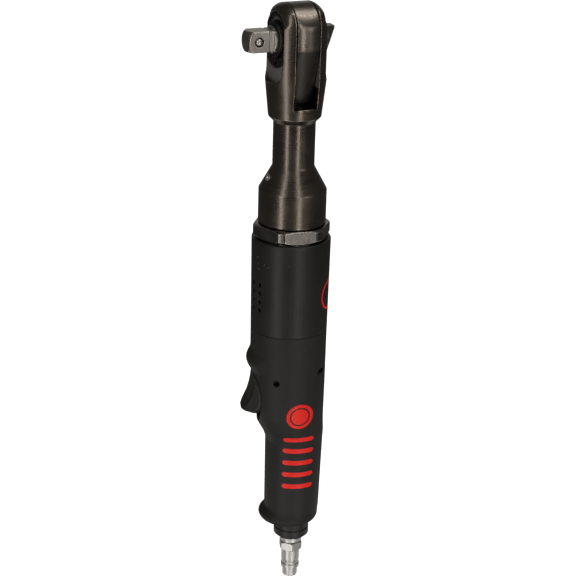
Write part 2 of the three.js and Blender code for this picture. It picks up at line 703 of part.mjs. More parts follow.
const triggerPin = () => crossRod(PIN_RADIUS, 21.4).translate([0, PIVOT_Y, PIVOT_Z]);
const locatingPin = () => crossRod(PIN_RADIUS, 13.2).translate([0, PIN_2_Y, PIN_2_Z]);

const onInlet = (part) => part.translate([0, GRIP_OFFSET, 0]);

function exhaustDeflector() {
  const turned = lathe([
    [8.1, -337.7], [9.5, -337.7], [11.7, -335.6], [11.7, -331], [11.1, -330.7], [11.1, -330.1],
    [11.7, -329.8], [11.7, -324.6], [11, -324], [8.1, -324], [8.1, -337.7],
  ], 28);
  return onInlet(turned);
}

const inletBushing = () =>
  onInlet(lathe([
    [5.95, -342], [6.9, -342], [7.2, -341.7], [7.2, -338], [7.6, -338], [7.6, -310], [5, -310],
    [5, -326], [5.95, -326], [5.95, -342],
  ], 24));

const inletScreen = () =>
  onInlet(lathe([
    [3.4, -325.4], [4.7, -325.4], [4.7, -314], [0, -314], [0, -314.9], [3.4, -314.9], [3.4, -325.4],
  ], 20));

const inletSeal = () => onInlet(ring(7.5, 6.3, -309.4, -308.2, 24));

function airNipple() {
  const turned = lathe([
    [NIPPLE_BORE, NIPPLE_END], [4.6, NIPPLE_END], [4.95, NIPPLE_END + 0.5], [4.95, -362.9],
    [6.1, -362.4], [6.15, -359.7], [5.65, -359.2], [5.65, -358.2], [6, -356.2], [6, HEX_BOTTOM],
    [5.65, HEX_TOP], [5.65, -327.4], [NIPPLE_BORE, -327.4], [NIPPLE_BORE, NIPPLE_END],
  ], 24);
  const corner = HEX_FLATS / 2 / Math.cos(30 * DEG);
  const corners = Array.from({ length: 6 }, (_, i) => polar(corner, (i * Math.PI) / 3 + HEX_TURN));
  const chamfered = lathe([
    [0, HEX_BOTTOM], [7.2, HEX_BOTTOM], [8.1, HEX_BOTTOM + 0.8],
    [8.1, HEX_TOP - 0.8], [7.2, HEX_TOP], [0, HEX_TOP],
  ], 24);
  const hexagon = prism(corners, HEX_BOTTOM, HEX_TOP).intersect(chamfered);
  return onInlet(join(turned, cut(hexagon, rod(NIPPLE_BORE, HEX_BOTTOM - 2, HEX_TOP + 2, 24))));
}

// ---------------------------------------------------------------- assembly

add(tool, "head_housing", "bronzeSteel", headHousing());
add(tool, "clamp_nut", "wornSteel", clampNut());
add(tool, "grease_fitting", "brightSteel", greaseFitting());
add(tool, "ratchet_yoke", "bronzeSteel", ratchetYoke());
add(tool, "drive_anvil", "driveSteel", driveAnvil());
add(tool, "reversing_lever", "driveSteel", reversingLever());
add(tool, "detent_ball", "brightSteel", detentBall());
const detentSpring = along(coil(1.7, 0.3, -2.7, 2, 4), "x").translate([0, -BALL_AT, 0]);
add(tool, "detent_spring", "springSteel", detentSpring);
add(tool, "retaining_ring", "springSteel", retainingRing());
add(tool, "thrust_washer", "gearSteel", thrustWasher());
add(tool, "pawl_upper", "gearSteel", pawl());
add(tool, "pawl_lower", "gearSteel", pawl().rotate([0, 180, 0]));
const pawlSpring = coil(0.9, 0.25, 4.1, 7.2, 3, 8, 4).translate([3.4, 0, 0]);
add(tool, "pawl_spring_upper", "springSteel", pawlSpring);
add(tool, "pawl_spring_lower", "springSteel", pawlSpring.rotate([0, 180, 0]));

add(tool, "crankshaft", "gearSteel", crankshaft());
add(tool, "drive_bushing", "brass", driveBushing());
add(tool, "crank_bearing_front", "brightSteel", bearing(BEARING_OUTER, CRANK_SHAFT + GAP, -60, -52));
add(tool, "crank_bearing_rear", "brightSteel", bearing(BEARING_OUTER, CRANK_SHAFT + GAP, -92, -84));
add(tool, "ring_gear", "gearSteel", ringGear());
planetPlaces().forEach((place, i) => {
  add(tool, `planet_gear_${i + 1}`, "gearSteel", planetGear(place));
  add(tool, `planet_pin_${i + 1}`, "brightSteel", planetPin(place));
});

add(tool, "motor_rotor", "gearSteel", motorRotor());
vaneAngles().forEach((angle, i) => {
  add(tool, `vane_${i + 1}`, "vaneFibre", vaneBlade(angle, VANE_THICKNESS, 6.8, 13.2, 0));
});
add(handle, "motor_cylinder", "gearSteel", motorCylinder());
const frontLow = CYLINDER_TOP + GAP;
const frontHigh = frontLow + PLATE_THICKNESS;
const rearHigh = CYLINDER_BOTTOM - GAP;
const rearLow = rearHigh - PLATE_THICKNESS;
const frontPlate = endPlate(frontLow, frontHigh, frontLow + 1.2, frontHigh + 1, false);
const rearPlate = endPlate(rearLow, rearHigh, rearLow - 1, rearHigh - 1.2, true);
add(handle, "front_end_plate", "gearSteel", frontPlate);
add(handle, "rear_end_plate", "gearSteel", rearPlate);
const rotorBearing = (low, high) => bearing(ROTOR_BEARING, SHAFT_RADIUS + GAP, low, high);
add(tool, "front_rotor_bearing", "brightSteel", rotorBearing(frontLow + 1.5, frontHigh - 0.1));
add(tool, "rear_rotor_bearing", "brightSteel", rotorBearing(rearLow + 0.1, rearHigh - 1.5));
add(handle, "motor_housing", "wornSteel", motorHousing());
add(handle, "motor_sleeve", "grip", motorSleeve());

add(handle, "handle_grip", "grip", handleGrip());
add(handle, "valve_body", "aluminium", valveBody());
add(handle, "valve_seat", "brass", valveSeat());
add(handle, "valve_plug", "brass", valvePlug());
add(handle, "throttle_spring", "springSteel", throttleSpring());
add(handle, "throttle_plunger", "brightSteel", throttlePlunger());
add(handle, "trigger", "grip", trigger());
add(handle, "trigger_pin", "springSteel", triggerPin());
add(handle, "locating_pin", "springSteel", locatingPin());
add(handle, "exhaust_deflector", "grip", exhaustDeflector());
add(handle, "inlet_bushing", "wornSteel", inletBushing());
add(handle, "inlet_screen", "brass", inletScreen());
add(handle, "inlet_seal", "seal", inletSeal());
add(handle, "air_nipple", "zinc", airNipple());

export default group;
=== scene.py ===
"""Half-inch drive air ratchet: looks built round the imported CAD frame.

Shapes are written in millimetres in two local frames, both centred on the tool's long axis: the head's, and the
handle's, which is turned 19 degrees from it. Plain turned pieces are lathed profiles with eased corners. The other
bodies are smooth solid fields, meshed on a grid and pulled exactly on to their surface. Shaders and the stage are in
metres.
"""

import json
import math

import bpy
import numpy as np
from mathutils import Matrix, Vector


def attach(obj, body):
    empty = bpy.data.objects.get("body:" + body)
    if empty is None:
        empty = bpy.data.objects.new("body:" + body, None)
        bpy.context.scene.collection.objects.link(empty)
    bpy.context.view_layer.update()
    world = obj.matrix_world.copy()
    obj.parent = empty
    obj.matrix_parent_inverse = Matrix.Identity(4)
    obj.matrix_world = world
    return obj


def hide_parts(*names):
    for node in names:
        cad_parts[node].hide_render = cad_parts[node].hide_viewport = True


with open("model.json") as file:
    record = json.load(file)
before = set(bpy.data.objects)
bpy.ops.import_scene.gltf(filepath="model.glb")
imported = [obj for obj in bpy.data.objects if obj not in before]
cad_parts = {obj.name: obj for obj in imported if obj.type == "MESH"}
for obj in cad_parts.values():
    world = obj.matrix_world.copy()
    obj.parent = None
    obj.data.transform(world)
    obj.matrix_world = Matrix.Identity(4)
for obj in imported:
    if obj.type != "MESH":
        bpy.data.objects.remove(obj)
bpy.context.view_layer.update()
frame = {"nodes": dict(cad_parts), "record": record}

TOOL_Y = 33.5
TURN = math.radians(-19)
COS, SIN = math.cos(TURN), math.sin(TURN)


# ------------------------------------------------------------------ places


def to_row(points, turned):
    """Local millimetres to metres in the row frame."""
    x, y, z = points.T
    if turned:
        x, y = x * COS - y * SIN, x * SIN + y * COS
    return np.stack([x, y + TOOL_Y, z], 1) / 1000


def turn_only(vectors, turned):
    """Local directions to directions in the row frame."""
    x, y, z = vectors.T
    if turned:
        x, y = x * COS - y * SIN, x * SIN + y * COS
    return np.stack([x, y, z], 1)


# ------------------------------------------------------------------ meshes


def build(name, points, faces, normals, turned, material, body, nodes):
    """A mesh piece from local points and quads with smooth normals, riding on its body in place of its CAD nodes."""
    mesh = bpy.data.meshes.new(name)
    mesh.vertices.add(len(points))
    mesh.vertices.foreach_set("co", to_row(points, turned).astype(np.float32).ravel())
    mesh.loops.add(faces.size)
    mesh.loops.foreach_set("vertex_index", faces.astype(np.int32).ravel())
    mesh.polygons.add(len(faces))
    mesh.polygons.foreach_set("loop_start", np.arange(0, faces.size, 4, dtype=np.int32))
    mesh.update(calc_edges=True)
    mesh.polygons.foreach_set("use_smooth", np.ones(len(faces), bool))
    mesh.normals_split_custom_set_from_vertices(turn_only(normals, turned).astype(np.float32))
    mesh.materials.append(material)
    piece = bpy.data.objects.new(name, mesh)
    bpy.context.scene.collection.objects.link(piece)
    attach(piece, body)
    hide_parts(*nodes)
    return piece


def eased(outline, radius, closed=True, steps=6):
    """An outline with each corner eased by a small curve, and its unit tangents. A corner may state its own radius."""
    corners = [np.array(p[:2], float) for p in outline]
    count = len(corners)
    points, tangents = [], []
    for i, corner in enumerate(corners):
        if not closed and i in (0, count - 1):
            other = corners[1] - corner if i == 0 else corner - corners[-2]
            points.append(corner)
            tangents.append(other / np.linalg.norm(other))
            continue
        before, after = corners[i - 1] - corner, corners[(i + 1) % count] - corner
        reach, on = np.linalg.norm(before), np.linalg.norm(after)
        u, v = before / reach, after / on
        half = math.acos(max(-1, min(1, float(u @ v)))) / 2
        size = outline[i][2] if len(outline[i]) > 2 else radius
        back = min(size / max(math.tan(half), 1e-3), 0.45 * reach, 0.45 * on)
        for t in np.linspace(0, 1, steps + 1):
            points.append(corner + back * ((1 - t) ** 2 * u + t**2 * v))
            along = -(1 - t) * u + t * v
            tangents.append(along / np.linalg.norm(along))
    return np.array(points), np.array(tangents)


def lathe(name, outline, material, body, nodes, radius=0.3, turned=True, centre=(0, 0), segments=112,
          lean=None):
    """A body of revolution about Z from a closed [r, z] outline.

    lean puts the piece in place: it is called with the points and True, and with the normals and False, which turn
    but don't shift.
    """
    ring, tangent = eased(outline, radius)
    area = np.sum(ring[:, 0] * np.roll(ring[:, 1], -1) - np.roll(ring[:, 0], -1) * ring[:, 1])
    if area < 0:
        ring, tangent = ring[::-1], -tangent[::-1]
    radii = np.maximum(ring[:, 0], 0.001)
    angle = np.linspace(0, 2 * np.pi, segments, endpoint=False)
    c, s = np.cos(angle)[:, None], np.sin(angle)[:, None]
    out, up = tangent[:, 1], -tangent[:, 0]
    k = len(radii)
    points = np.stack([radii * c + centre[0], radii * s + centre[1], np.broadcast_to(ring[:, 1], (segments, k))], 2)
    normals = np.stack([out * c, out * s, np.broadcast_to(up, (segments, k))], 2)
    i, j = np.meshgrid(np.arange(segments), np.arange(k), indexing="ij")
    near, far = (i + 1) % segments, (j + 1) % k
    faces = np.stack([i * k + j, near * k + j, near * k + far, i * k + far], -1).reshape(-1, 4)
    points, normals = points.reshape(-1, 3), normals.reshape(-1, 3)
    if lean is not None:
        points, normals = lean(points, True), lean(normals, False)
    return build(name, points, faces, normals, turned, material, body, nodes)


# Solid fields: negative inside, in millimetres. r eases the edge or fillet where two surfaces meet.


def meet(a, b, r=0.0):
    return np.minimum(-r, np.maximum(a, b)) + np.hypot(np.maximum(r + a, 0), np.maximum(r + b, 0))


def merge(a, b, r=0.0):
    return np.maximum(r, np.minimum(a, b)) - np.hypot(np.maximum(r - a, 0), np.maximum(r - b, 0))


def cut(a, b, r=0.0):
    return meet(a, -b, r)


def polygon(outline, u, v):
    """Exact distance to a polygon's edge, negative inside."""
    corners = np.array(outline, float)
    nearest = np.full(np.broadcast(u, v).shape, 1e9)
    sign = np.ones_like(nearest)
    for a, b in zip(corners, np.roll(corners, 1, 0)):
        e = b - a
        wu, wv = u - a[0], v - a[1]
        t = np.clip((wu * e[0] + wv * e[1]) / (e @ e), 0, 1)
        nearest = np.minimum(nearest, (wu - t * e[0]) ** 2 + (wv - t * e[1]) ** 2)
        above, below, left = v >= a[1], v < b[1], e[0] * wv > e[1] * wu
        sign = np.where((above & below & left) | (~above & ~below & ~left), -sign, sign)
    return sign * np.sqrt(nearest)


def inset(outline, r):
    """A convex-cornered outline moved in by r, so that a field less r has round corners."""
    p = np.array(outline, float)
    nxt = np.roll(p, -1, 0)
    edge = (nxt - p) / np.linalg.norm(nxt - p, axis=1)[:, None]
    turn = np.sign(np.sum(p[:, 0] * nxt[:, 1] - nxt[:, 0] * p[:, 1]))
    normal = np.stack([-edge[:, 1], edge[:, 0]], 1) * turn
    before = np.roll(normal, 1, 0)
    middle = normal + before
    return p + middle * (r / np.maximum((middle * normal).sum(1), 0.3))[:, None]


def soft_polygon(outline, u, v, r):
    return polygon(inset(outline, r), u, v) - r


def hexagon(x, y, flat, turn, r):
    """A hexagonal bar along Z, flat from its axis to each side, with a side facing turn degrees from +X."""
    bar = None
    for i in range(3):
        a = math.radians(turn + 60 * i)
        pair = np.abs(x * math.cos(a) + y * math.sin(a)) - flat
        bar = pair if bar is None else meet(bar, pair, r)
    return bar


def profile_field(points, radius=0.5):
    """A field of (radius, z) for a body whose radius is a function of z, from [z, r] points going up."""
    line, tangent = eased(points, radius, closed=False)
    steep = tangent[:, 0] / np.hypot(tangent[:, 0], tangent[:, 1])
    return lambda rho, z: (rho - np.interp(z, line[:, 0], line[:, 1])) * np.interp(z, line[:, 0], np.abs(steep))


CORNERS = np.array([(i, j, k) for i in (0, 1) for j in (0, 1) for k in (0, 1)])
EDGES = [(a, b) for a in range(8) for b in range(a + 1, 8) if np.abs(CORNERS[a] - CORNERS[b]).sum() == 1]


def surface(field, low, high, cell):
    """Points, quads and normals of a field's zero surface: one point in each grid cell that the surface crosses."""
    low = np.array(low, float)
    grid = [low[i] + cell * np.arange(int((high[i] - low[i]) / cell) + 2) for i in range(3)]
    values = field(grid[0][:, None, None], grid[1][None, :, None], grid[2][None, None, :]).astype(np.float32)
    inside = values < 0
    shape = tuple(n - 1 for n in values.shape)
    pick = lambda array, c: array[c[0] : c[0] + shape[0], c[1] : c[1] + shape[1], c[2] : c[2] + shape[2]]
    count = sum(pick(inside, c).astype(np.uint8) for c in CORNERS)
    active = (count > 0) & (count < 8)
    cells = np.argwhere(active)
    number = np.full(shape, -1, np.int32)
    number[active] = np.arange(len(cells))
    corner = [values[tuple((cells + c).T)] for c in CORNERS]
    total, hits = np.zeros((len(cells), 3)), np.zeros(len(cells))
    for a, b in EDGES:
        crossing = (corner[a] < 0) != (corner[b] < 0)
        fa, fb = corner[a][crossing], corner[b][crossing]
        t = (fa / (fa - fb))[:, None]
        total[crossing] += CORNERS[a] + t * (CORNERS[b] - CORNERS[a])
        hits[crossing] += 1
    points = low + cell * (cells + total / hits[:, None])

    def slope(p, h=0.03):
        step = [field(*(p + h * e).T) - field(*(p - h * e).T) for e in np.eye(3)]
        return np.stack(step, 1) / (2 * h)

    for _ in range(4):  # Newton steps, none longer than 0.6 of a cell
        g = slope(points)
        move = g * (field(*points.T) / np.maximum((g * g).sum(1), 0.2))[:, None]
        size = np.linalg.norm(move, axis=1)[:, None]
        points = points - move * np.minimum(1, 0.6 * cell / np.maximum(size, 1e-9))
    normals = slope(points)
    normals /= np.maximum(np.linalg.norm(normals, axis=1), 1e-9)[:, None]

    faces = []
    for axis in range(3):
        u, v = np.eye(3, dtype=int)[(axis + 1) % 3], np.eye(3, dtype=int)[(axis + 2) % 3]
        step = np.eye(3, dtype=int)[axis]
        here = inside[: values.shape[0] - step[0], : values.shape[1] - step[1], : values.shape[2] - step[2]]
        following = inside[step[0] :, step[1] :, step[2] :]
        place = np.argwhere(here != following)
        fits = np.all((place - u - v >= 0) & (place < shape), axis=1)
        place = place[fits]
        outward = inside[tuple(place.T)]
        quad = np.stack([number[tuple((place - u - v).T)], number[tuple((place - v).T)],
                         number[tuple(place.T)], number[tuple((place - u).T)]], 1)
        quad[~outward] = quad[~outward][:, ::-1]
        faces.append(quad)
    return points, np.concatenate(faces), normals


def solid(name, field, low, high, cell, material, body, nodes, turned=False):
    points, faces, normals = surface(field, low, high, cell)
    return build(name, points, faces, normals, turned, material, body, nodes)


# ------------------------------------------------------------------ materials


def srgb(*values):
    """Linear colour from sRGB values of 0 to 255."""
    return tuple((v / 255 / 12.92 if v <= 10.3 else ((v / 255 + 0.055) / 1.055) ** 2.4) for v in values)


class Shader:
    """Small helper that lays down a node tree."""

    def __init__(self, name):
        self.material = bpy.data.materials.new(name)
        self.material.use_nodes = True
        self.tree = self.material.node_tree
        self.tree.nodes.clear()
        self.out = self.add("ShaderNodeOutputMaterial")
        self.base = self.add("ShaderNodeBsdfPrincipled")
        self.link(self.base.outputs[0], self.out.inputs[0])
        self.place = self.add("ShaderNodeTexCoord").outputs["Object"]

    def add(self, kind, **settings):
        node = self.tree.nodes.new(kind)
        for key, value in settings.items():
            setattr(node, key, value)
        return node

    def link(self, source, target):
        self.tree.links.new(source, target)

    def socket(self, target, value):
        if isinstance(value, bpy.types.NodeSocket):
            self.link(value, target)
        else:
            target.default_value = value

    def math(self, operation, a, b=0.0, clamp=False):
        node = self.add("ShaderNodeMath", operation=operation, use_clamp=clamp)
        for target, value in zip(node.inputs, (a, b)):
            self.socket(target, value)
        return node.outputs[0]

    def stretch(self, scale=(1, 1, 1), turn=0.0, shift=(0, 0, 0)):
        node = self.add("ShaderNodeMapping")
        node.inputs["Scale"].default_value = scale
        node.inputs["Rotation"].default_value = (0, 0, turn)
        node.inputs["Location"].default_value = shift
        self.link(self.place, node.inputs[0])
        return node.outputs[0]

    def noise(self, scale, detail=3.0, rough=0.5, source=None):
        node = self.add("ShaderNodeTexNoise")
        node.inputs["Scale"].default_value = scale
        node.inputs["Detail"].default_value = detail
        node.inputs["Roughness"].default_value = rough
        self.link(source or self.place, node.inputs["Vector"])
        return node.outputs["Fac"]

    def cells(self, scale):
        node = self.add("ShaderNodeTexVoronoi")
        node.inputs["Scale"].default_value = scale
        self.link(self.place, node.inputs["Vector"])
        return node.outputs["Distance"]

    def range(self, value, from_low, from_high, to_low, to_high):
        node = self.add("ShaderNodeMapRange")
        self.link(value, node.inputs[0])
        for i, v in enumerate((from_low, from_high, to_low, to_high)):
            node.inputs[i + 1].default_value = v
        return node.outputs[0]

    def mix(self, factor, a, b):
        node = self.add("ShaderNodeMix", data_type="RGBA")
        self.socket(node.inputs[0], factor)
        for target, value in ((node.inputs[6], a), (node.inputs[7], b)):
            self.socket(target, value if isinstance(value, bpy.types.NodeSocket) else (*value[:3], 1))
        return node.outputs[2]

    def edges(self, low, high):
        """1 on convex edges, 0 on flats."""
        return self.range(self.add("ShaderNodeNewGeometry").outputs["Pointiness"], low, high, 0, 1)

    def bump(self, height, strength, distance, under=None):
        node = self.add("ShaderNodeBump")
        node.inputs["Strength"].default_value = strength
        node.inputs["Distance"].default_value = distance
        self.link(height, node.inputs["Height"])
        if under is not None:
            self.link(under, node.inputs["Normal"])
        return node.outputs[0]

    def finish(self, colour, roughness, normal=None, metallic=0.0, **plain):
        self.socket(self.base.inputs["Base Color"], colour)
        self.socket(self.base.inputs["Roughness"], roughness)
        self.base.inputs["Metallic"].default_value = metallic
        for key, value in plain.items():
            self.base.inputs[key.replace("_", " ").title().replace("Ior", "IOR")].default_value = value
        if normal is not None:
            self.link(normal, self.base.inputs["Normal"])
        return self.material


def metal(name, dark, light, roughness, spread=0.07, wear=(0.5, 0.47, 0.43), worn=0.35, lines="z",
          line_depth=0.000006, darker_side=None, milled=False):
    """Worked steel: blotched tone, fine tool marks round one axis, edges rubbed bright, and small pits.

    darker_side makes it darker on one side of a plane: the axis letter, and the two levels between which the darkening
    fades in.
    """
    s = Shader(name)
    blotch = s.noise(55, 4, 0.6)
    fine = s.noise(900, 2, 0.5)
    scale = {"z": (0.35, 0.35, 26), "y": (0.5, 26, 0.5), "none": (1, 1, 1)}[lines]
    marks = s.noise(120, 3, 0.7, s.stretch(scale))
    tone = s.math("ADD", s.math("MULTIPLY", blotch, 0.6), s.math("MULTIPLY", marks, 0.4))
    colour = s.mix(s.range(tone, 0.35, 0.65, 0, 1), dark, light)
    matte = 0.0
    parts = s.add("ShaderNodeSeparateXYZ")
    s.link(s.place, parts.inputs[0])
    if milled:  # the flats beside the drive, 14.3 mm from the axis, are rougher and paler than the turned faces
        facing = s.add("ShaderNodeSeparateXYZ")
        s.link(s.add("ShaderNodeTexCoord").outputs["Normal"], facing.inputs[0])
        flat = s.range(s.math("ABSOLUTE", facing.outputs[1]), 0.97, 0.99, 0, 1)
        near = s.math("ABSOLUTE", s.math("SUBTRACT", parts.outputs[1], TOOL_Y / 1000))
        matte = s.math("MULTIPLY", flat, s.range(near, 0.0146, 0.0149, 1, 0))
        matte = s.math("MULTIPLY", matte, s.range(parts.outputs[2], -0.028, -0.0275, 0, 1))
        colour = s.mix(matte, colour, s.mix(blotch, (0.5, 0.49, 0.475), (0.64, 0.63, 0.61)))
    if darker_side:
        letter, clear, full = darker_side
        matte = s.range(parts.outputs["XYZ".index(letter.upper())], clear, full, 1, 0)
        colour = s.mix(matte, colour, s.mix(blotch, (0.055, 0.05, 0.044), (0.082, 0.075, 0.067)))
    rubbed = s.math("MULTIPLY", s.edges(0.504, 0.535), s.range(s.noise(260, 3, 0.6), 0.35, 0.6, 0.2, 1), clamp=True)
    if darker_side:
        rubbed = s.math("MULTIPLY", rubbed, s.math("SUBTRACT", 1.0, matte), clamp=True)
    colour = s.mix(s.math("MULTIPLY", rubbed, worn), colour, wear)
    rough = s.range(tone, 0.3, 0.7, roughness - spread, roughness + spread)
    rough = s.math("ADD", rough, s.math("MULTIPLY", rubbed, -0.08))
    rough = s.math("ADD", rough, s.math("MULTIPLY", matte, 0.26 if milled else 0.12))
    pits = s.range(s.cells(420), 0.0, 0.12, 0, 1)
    height = s.math("ADD", marks, s.math("MULTIPLY", fine, 0.35))
    normal = s.bump(height, 0.35, line_depth, s.bump(pits, 0.05, 0.00001))
    return s.finish(colour, rough, normal, metallic=1.0)


def red_marks(s, kind):
    """Plain red marks with no lettering: a disc and five bars on the grip, or one ring on the sleeve."""
    local = s.stretch(turn=-TURN, shift=(TOOL_Y / 1000 * math.sin(-TURN), -TOOL_Y / 1000 * math.cos(-TURN), 0))
    parts = s.add("ShaderNodeSeparateXYZ")
    s.link(local, parts.inputs[0])
    x, y, z = parts.outputs
    ragged = s.math("MULTIPLY", s.math("SUBTRACT", s.noise(1500, 2, 0.6), 0.5), 0.0004)
    grip_y, disc_z, bar_z, bar_step = 0.0066, -0.2407, -0.2586, 0.0086

    def length(a, b):
        return s.math("SQRT", s.math("ADD", s.math("POWER", a, 2.0), s.math("POWER", b, 2.0)))

    def off(value, middle):
        return s.math("ABSOLUTE", s.math("SUBTRACT", value, middle))

    def inside(distance, limit):
        edge = 0.00012
        return s.range(s.math("ADD", s.math("SUBTRACT", distance, limit), ragged), -edge, edge, 1, 0)

    if kind == "ring":
        girth = s.math("MULTIPLY", s.math("ARCTAN2", y, x), 0.025)  # wrapped round the sleeve
        return inside(off(length(off(girth, 0.0311), off(z, -0.1615)), 0.0092), 0.0007)
    away = length(off(y, grip_y), off(z, disc_z))
    mask = s.math("MULTIPLY", inside(away, 0.0088), s.math("SUBTRACT", 1.0, inside(off(away, 0.0062), 0.0005)))
    for i in range(5):
        past = s.math("MAXIMUM", s.math("SUBTRACT", off(y, grip_y), 0.0084), 0.0)
        mask = s.math("MAXIMUM", mask, inside(length(past, off(z, bar_z - bar_step * i)), 0.0016))
    return s.math("MULTIPLY", mask, s.range(x, 0.0, 0.0005, 0, 1))


def composite(name, marks=None, tone=1.0, roughness=0.425, specular=0.5):
    """Matte black glass-filled plastic: spark-eroded grain, slight polish where hands rub it."""
    s = Shader(name)
    grain = s.noise(2600, 3, 0.6)
    pebble = s.cells(1500)
    cloud = s.noise(38, 4, 0.55)
    dark, light, speck = (tuple(tone * v for v in colour) for colour in (
        (0.0135, 0.0133, 0.0121), (0.018, 0.0177, 0.016), (0.03, 0.03, 0.028)))
    colour = s.mix(s.range(cloud, 0.35, 0.65, 0, 1), dark, light)
    colour = s.mix(s.math("MULTIPLY", s.range(grain, 0.55, 0.75, 0, 1), 0.3), colour, speck)
    colour = s.mix(s.math("MULTIPLY", s.edges(0.52, 0.62), 0.3), colour, (0.045, 0.044, 0.042))
    mottle = s.math("ADD", s.math("MULTIPLY", cloud, 0.5), s.math("MULTIPLY", grain, 0.5))
    rough = s.range(mottle, 0.35, 0.65, roughness - 0.055, roughness + 0.055)
    height = s.math("ADD", s.math("MULTIPLY", grain, 0.6), s.math("MULTIPLY", pebble, 0.5))
    normal = s.bump(height, 0.35, 0.00004)
    if marks:
        mask = red_marks(s, marks)
        ink_and_glow = s.mix(s.range(s.noise(700, 3, 0.6), 0.3, 0.7, 0, 1), srgb(222, 24, 16), srgb(236, 34, 25))
        colour = s.mix(mask, colour, ink_and_glow)
        bare = s.math("SUBTRACT", 1.0, mask)
        rough = s.math("ADD", s.math("MULTIPLY", rough, bare), s.math("MULTIPLY", mask, 0.42))
        normal = s.bump(mask, 0.4, 0.00003, normal)
        # The red marks also glow: painted light, an emission in the ink colour at 0.3 of the mark mask, making the
        # print brighter than the lamps alone would.
        s.link(ink_and_glow, s.base.inputs["Emission Color"])
        s.link(s.math("MULTIPLY", mask, 0.3), s.base.inputs["Emission Strength"])
    return s.finish(colour, rough, normal, specular_ior_level=specular)


BLACK = metal("black_oxide", (0.045, 0.043, 0.04), (0.08, 0.077, 0.07), 0.38, wear=(0.3, 0.28, 0.26), worn=0.1,
              lines="none")
BRONZE = metal("bronze_steel", (0.15, 0.126, 0.107), (0.23, 0.194, 0.164), 0.29, wear=(0.4, 0.35, 0.3), worn=0.4,
               milled=True)
# The yoke is darker below about 4 to 5 mm under the drive axis, over its tail in the fork slot.
YOKE = metal("yoke_steel", (0.18, 0.155, 0.134), (0.275, 0.24, 0.208), 0.3, wear=(0.4, 0.35, 0.29), worn=0.4,
             darker_side=("z", -0.0052, -0.0036))
# The anvil is darker within about 16 mm of the tool's axis, over its journal in the recess.
DRIVE = metal("drive_steel", (0.36, 0.335, 0.303), (0.54, 0.507, 0.465), 0.31, wear=(0.75, 0.72, 0.67), worn=0.8,
              lines="y", darker_side=("y", 0.0174, 0.0166))
LEVER = metal("lever_steel", (0.05, 0.048, 0.044), (0.09, 0.086, 0.08), 0.38, wear=(0.6, 0.57, 0.53), worn=0.9)
NUT = metal("nut_steel", (0.16, 0.149, 0.135), (0.245, 0.229, 0.209), 0.27, wear=(0.65, 0.61, 0.56), worn=0.7,
            lines="none")
BRIGHT = metal("bright_steel", (0.74, 0.71, 0.67), (0.86, 0.83, 0.79), 0.3, spread=0.04, lines="none",
               line_depth=0.000002)
GEAR = metal("gear_steel", (0.36, 0.355, 0.345), (0.5, 0.49, 0.475), 0.34)
SPRING = metal("spring_steel", (0.3, 0.29, 0.275), (0.45, 0.44, 0.42), 0.28, lines="none")
ALUMINIUM = metal("aluminium", (0.58, 0.58, 0.59), (0.7, 0.7, 0.71), 0.4, wear=(0.8, 0.8, 0.8))
BRASS = metal("brass", (0.5, 0.36, 0.15), (0.66, 0.49, 0.22), 0.32, wear=(0.8, 0.65, 0.35))
ZINC = metal("zinc_steel", (0.66, 0.655, 0.635), (0.76, 0.755, 0.735), 0.43, wear=(0.92, 0.91, 0.89),
             line_depth=0.000001)
GRIP = composite("grip_plastic", "grip", 1.4, 0.56, 0.4)
SLEEVE = composite("sleeve_plastic", "ring")
PLAIN = composite("plain_plastic")


def fibre():
    s = Shader("vane_fibre")
    weave = s.noise(900, 3, 0.6, s.stretch((1, 1, 0.15)))
    colour = s.mix(s.range(weave, 0.3, 0.7, 0, 1), (0.11, 0.055, 0.025), (0.2, 0.11, 0.05))
    return s.finish(colour, s.range(weave, 0.3, 0.7, 0.6, 0.8), s.bump(weave, 0.3, 0.00004))


def rubber():
    s = Shader("seal_rubber")
    grain = s.noise(1400, 3, 0.6)
    colour = s.mix(s.range(grain, 0.3, 0.7, 0, 1), (0.008, 0.008, 0.008), (0.016, 0.016, 0.016))
    return s.finish(colour, s.range(grain, 0.3, 0.7, 0.6, 0.8), s.bump(grain, 0.3, 0.00004))


SLOT_LOOKS = {
    "bronze_steel": BRONZE, "drive_steel": DRIVE, "nut_steel": NUT, "bright_steel": BRIGHT, "gear_steel": GEAR,
    "spring_steel": SPRING, "aluminium": ALUMINIUM, "brass": BRASS, "zinc_steel": ZINC, "grip_plastic": PLAIN,
    "vane_fibre": fibre(), "seal_rubber": rubber(),
}
for row in frame["record"]["subparts"]:
    node = frame["nodes"][row["node"]]
    node.data.materials.clear()
    node.data.materials.append(SLOT_LOOKS[row["material_slot"]])


# ------------------------------------------------------------------ head

CHEEK, SLOT = 14.3, 7.7  # half widths of the fork and of the slot in it, along Y
RECESS = 15.5  # radius of the recess round the anvil
FLAT = 11.8  # half width of the milled flats beside the drive, along X
head_round = profile_field([
    (-136, 20.2), (-115.9, 20.2, 0.1), (-115.3, 20.9, 0.3), (-114.7, 21.3, 0.5), (-93.9, 21.3, 1.2),
    (-79.2, 13.1, 3.5), (-50.9, 13.1, 1.0), (-47.6, 16.4, 1.2), (-24.7, 18.8, 9), (24, 18.8),
])


